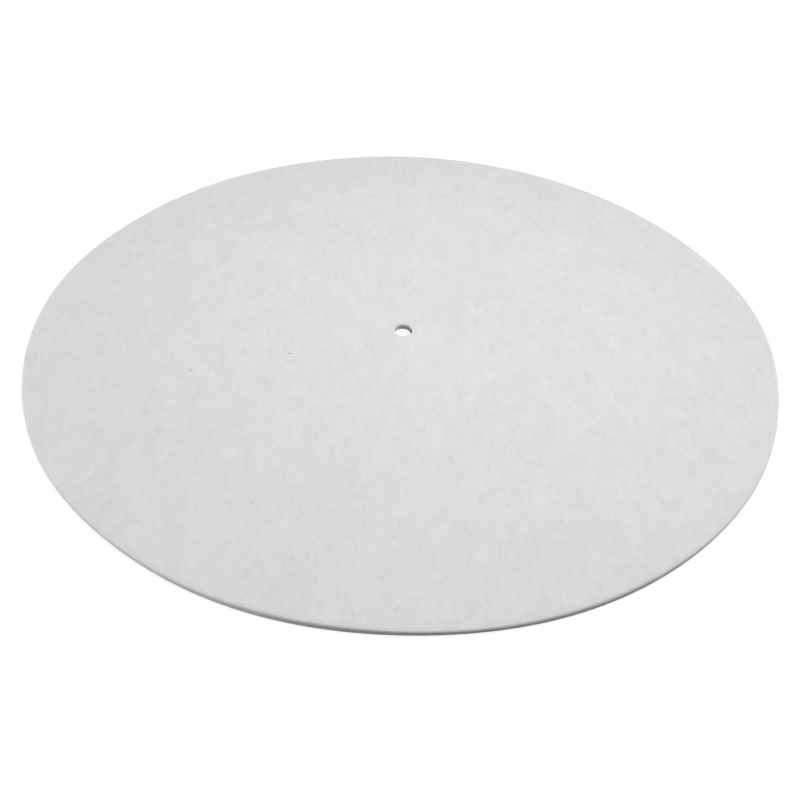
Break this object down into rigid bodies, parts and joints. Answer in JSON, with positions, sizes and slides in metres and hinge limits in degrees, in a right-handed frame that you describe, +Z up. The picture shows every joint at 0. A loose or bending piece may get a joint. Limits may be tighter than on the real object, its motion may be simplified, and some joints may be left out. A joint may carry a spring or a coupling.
{
  "type": "turntable platter mat",
  "caption": "Round white felt mat with a small punched centre hole, laid between a turntable's platter and the record.",
  "frame": {"origin": "middle of the underside, on the axis of the spindle hole", "axes": "+Z up, out of the face that carries the record; the mat is round, so X and Y are free, and -Y is the side nearest the viewer"},
  "size_m": [0.295, 0.295, 0.002],
  "materials": {
    "felt": "matt pressed wool felt, white, with a fine random fibre surface"
  },
  "bodies": {
    "root": {"felt_mat": "felt"}
  },
  "joints": []
}
